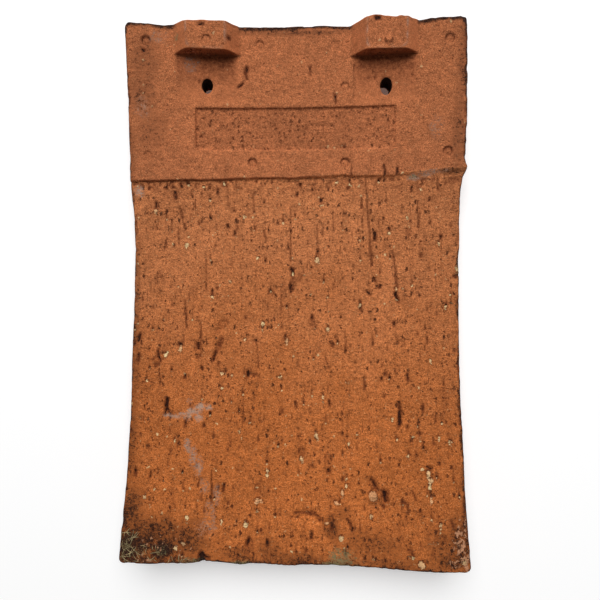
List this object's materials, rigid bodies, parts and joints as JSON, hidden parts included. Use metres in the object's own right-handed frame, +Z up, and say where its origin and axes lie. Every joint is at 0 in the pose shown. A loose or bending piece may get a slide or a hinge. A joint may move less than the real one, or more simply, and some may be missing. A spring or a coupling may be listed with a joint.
{
  "type": "clay roof tile",
  "caption": "Cambered plain clay roof tile with batten nibs, nail holes and a blank sunk stamp panel on its pressed head.",
  "frame": {"origin": "under the middle of the tile, on the level floor that it lies on", "axes": "+Z up, out of the nib face; +Y from the tail to the head; +X across the tile"},
  "size_m": [0.1692, 0.2649, 0.0337],
  "materials": {
    "fired_clay": "matte, rough fired clay with drag marks and grit"
  },
  "bodies": {
    "root": {"tile": "fired_clay"}
  },
  "joints": []
}
